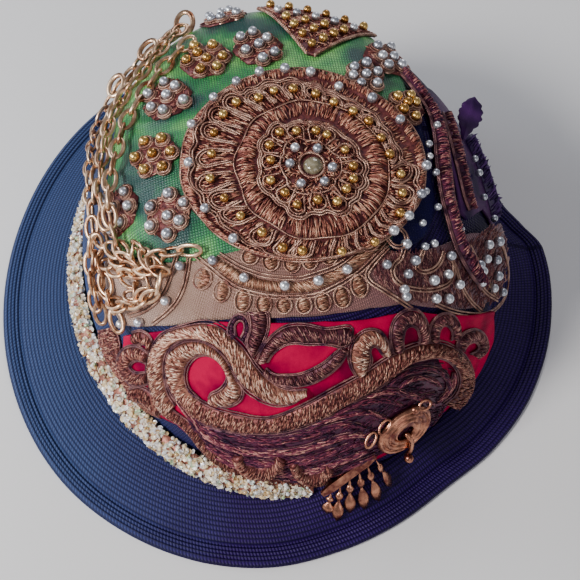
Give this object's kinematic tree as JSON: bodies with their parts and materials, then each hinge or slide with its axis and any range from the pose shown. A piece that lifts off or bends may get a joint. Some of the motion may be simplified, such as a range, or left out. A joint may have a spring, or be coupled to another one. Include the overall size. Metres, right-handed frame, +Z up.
{
  "type": "multi-sided hat",
  "caption": "Round-crowned straw hat with a short sloping brim, embroidered cloth patches, a padded medallion, bead flowers, chains and a small pierced brooch.",
  "frame": {"origin": "bottom centre of the hat's bounding box, on the surface that its brim rests on", "axes": "+Z up through the top of the crown, -Y out of the front with the red cloth and the brooch, +X to the viewer's right"},
  "size_m": [0.2425, 0.2679, 0.1108],
  "materials": {
    "navy_straw": "fine braided straw, satin sheen",
    "green_satin": "satin under fine net",
    "crimson_satin": "satin",
    "gold_weave": "woven metal thread, matt",
    "metal_thread": "padded metal-thread embroidery",
    "purple_velvet": "velvet",
    "sequins": "glossy sequins and glass beads",
    "chain_metal": "antiqued",
    "brass": "antiqued cast brass"
  },
  "bodies": {
    "root": {"crown": "navy_straw", "brim": "navy_straw", "green_cloth": "green_satin", "front_cloth": "crimson_satin", "gold_band": "gold_weave", "medallion": "metal_thread", "corner_patch": "metal_thread", "scroll_spiral": "metal_thread", "scroll_stem": "metal_thread", "scroll_leaf": "metal_thread", "scroll_crescent": "metal_thread", "scroll_curl": "metal_thread", "side_band_1": "metal_thread", "side_band_2": "metal_thread", "flower_1": "metal_thread", "flower_2": "metal_thread", "flower_3": "metal_thread", "flower_4": "metal_thread", "flower_5": "metal_thread", "flower_6": "metal_thread", "flower_7": "metal_thread", "flower_8": "metal_thread", "flower_9": "metal_thread", "flower_10": "metal_thread", "side_cloth": "purple_velvet", "side_trim": "purple_velvet", "side_petal": "purple_velvet", "sequin_trim": "sequins", "chain_outer": "chain_metal", "chain_inner": "chain_metal", "brooch_disc": "brass", "brooch_bar": "brass", "drop_1": "brass", "drop_2": "brass", "drop_3": "brass", "drop_4": "brass", "drop_5": "brass", "drop_6": "brass"}
  },
  "joints": []
}
